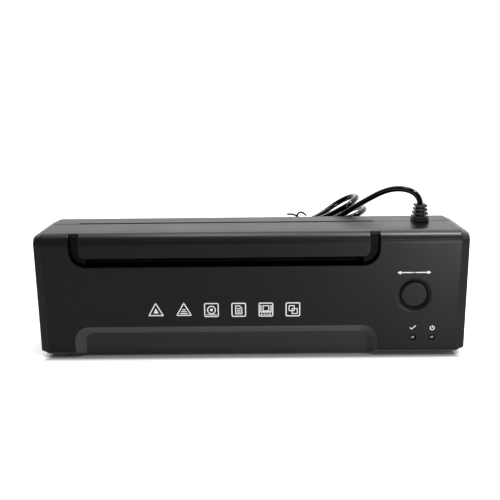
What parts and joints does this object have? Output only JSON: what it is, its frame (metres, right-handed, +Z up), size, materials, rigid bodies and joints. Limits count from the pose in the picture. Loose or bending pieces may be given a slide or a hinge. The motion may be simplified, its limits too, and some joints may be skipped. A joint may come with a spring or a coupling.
{
  "type": "pouch laminator",
  "caption": "Slim upright desktop pouch laminator with a curved entry channel, heated roller path, rear exit slot, reverse button, lamps and a folded mains cord.",
  "frame": {"origin": "on the surface that the machine stands on, under the middle of the case without its cord", "axes": "+X to the right seen from the front, along the pouch slot; +Y from the entry slot to the rear; +Z up"},
  "size_m": [0.34, 0.134, 0.1324],
  "materials": {
    "case_black": "satin moulded shell with a fine grain",
    "channel_gloss": "gloss liner",
    "button_black": "satin button",
    "lens_dark": "clear dark lamp",
    "zinc_steel": "zinc plated sheet and fasteners",
    "shaft_steel": "ground steel",
    "silicone": "smooth silicone rubber",
    "bush_bronze": "sintered bronze",
    "gear_nylon": "natural nylon",
    "plate_aluminium": "extruded",
    "mica": "mica strip",
    "motor_steel": "pressed steel can",
    "board_green": "solder resist",
    "relay_blue": "moulded",
    "component_black": "moulded",
    "terminal_white": "moulded",
    "foot_rubber": "soft foot",
    "cord_black": "smooth shiny PVC sheath",
    "tie_black": "coated wire tie",
    "pin_nickel": "nickel plated"
  },
  "bodies": {
    "root": {"front_cover": "case_black", "rear_cover": "case_black", "left_end_cap": "case_black", "right_end_cap": "case_black", "entry_guide": "channel_gloss", "exit_guide": "channel_gloss", "left_side_plate": "zinc_steel", "right_side_plate": "zinc_steel", "frame_tie_rods": "zinc_steel", "roller_bushes": "bush_bronze", "idler_stud": "shaft_steel", "drive_motor": "motor_steel", "lower_heating_plate": "plate_aluminium", "upper_heating_plate": "plate_aluminium", "lower_heater_strip": "mica", "upper_heater_strip": "mica", "lower_heater_clamp": "zinc_steel", "upper_heater_clamp": "zinc_steel", "thermostat": "component_black", "thermal_fuse": "pin_nickel", "control_board": "board_green", "relay": "relay_blue", "capacitor": "component_black", "power_transistor": "component_black", "terminal_block": "terminal_white", "push_switch": "component_black", "ready_light": "lens_dark", "power_light": "lens_dark", "case_screws": "zinc_steel", "frame_screws": "zinc_steel", "motor_screws": "zinc_steel", "board_screws": "zinc_steel", "rubber_feet": "foot_rubber", "strain_relief": "cord_black", "power_cord": "cord_black", "inner_lead": "cord_black", "cord_hank": "cord_black", "cord_tail": "cord_black", "cord_ties": "tie_black", "power_plug": "cord_black", "plug_pins": "pin_nickel"},
    "lower_feed_roller": {"lower_feed_roller_shaft": "shaft_steel", "lower_feed_roller_sleeve": "silicone", "lower_feed_gear": "gear_nylon"},
    "upper_feed_roller": {"upper_feed_roller_shaft": "shaft_steel", "upper_feed_roller_sleeve": "silicone", "upper_feed_gear": "gear_nylon"},
    "lower_exit_roller": {"lower_exit_roller_shaft": "shaft_steel", "lower_exit_roller_sleeve": "silicone", "lower_exit_gear": "gear_nylon"},
    "upper_exit_roller": {"upper_exit_roller_shaft": "shaft_steel", "upper_exit_roller_sleeve": "silicone", "upper_exit_gear": "gear_nylon"},
    "idler": {"idler_gear": "gear_nylon"},
    "motor_output": {"motor_shaft": "shaft_steel", "motor_pinion": "gear_nylon"},
    "button": {"button_cap": "button_black", "switch_plunger": "terminal_white"}
  },
  "joints": [
    {"name": "lower_feed_turn", "type": "hinge", "parent": "root", "child": "lower_feed_roller", "pos_m": [-0.02, -0.016, 0.06995], "axis": [1, 0, 0], "continuous": true},
    {"name": "upper_feed_turn", "type": "hinge", "parent": "root", "child": "upper_feed_roller", "pos_m": [-0.02, -0.016, 0.08625], "axis": [1, 0, 0], "continuous": true},
    {"name": "lower_exit_turn", "type": "hinge", "parent": "root", "child": "lower_exit_roller", "pos_m": [-0.02, 0.018, 0.06995], "axis": [1, 0, 0], "continuous": true},
    {"name": "upper_exit_turn", "type": "hinge", "parent": "root", "child": "upper_exit_roller", "pos_m": [-0.02, 0.018, 0.08625], "axis": [1, 0, 0], "continuous": true},
    {"name": "idler_turn", "type": "hinge", "parent": "root", "child": "idler", "pos_m": [0.1094, 0.001, 0.06143], "axis": [1, 0, 0], "continuous": true},
    {"name": "motor_turn", "type": "hinge", "parent": "root", "child": "motor_output", "pos_m": [0.1094, 0.001, 0.04513], "axis": [1, 0, 0], "continuous": true},
    {"name": "button_push", "type": "slide", "parent": "root", "child": "button", "axis": [0, 1, 0], "range_m": [0, 0.0015], "stiffness_N_per_m": 400}
  ],
  "couplings": [
    {"joint": "upper_feed_turn", "follows": "lower_feed_turn", "ratio": -1},
    {"joint": "lower_exit_turn", "follows": "lower_feed_turn", "ratio": 1},
    {"joint": "upper_exit_turn", "follows": "lower_feed_turn", "ratio": -1},
    {"joint": "idler_turn", "follows": "lower_feed_turn", "ratio": -0.75},
    {"joint": "motor_turn", "follows": "lower_feed_turn", "ratio": 1.5}
  ]
}
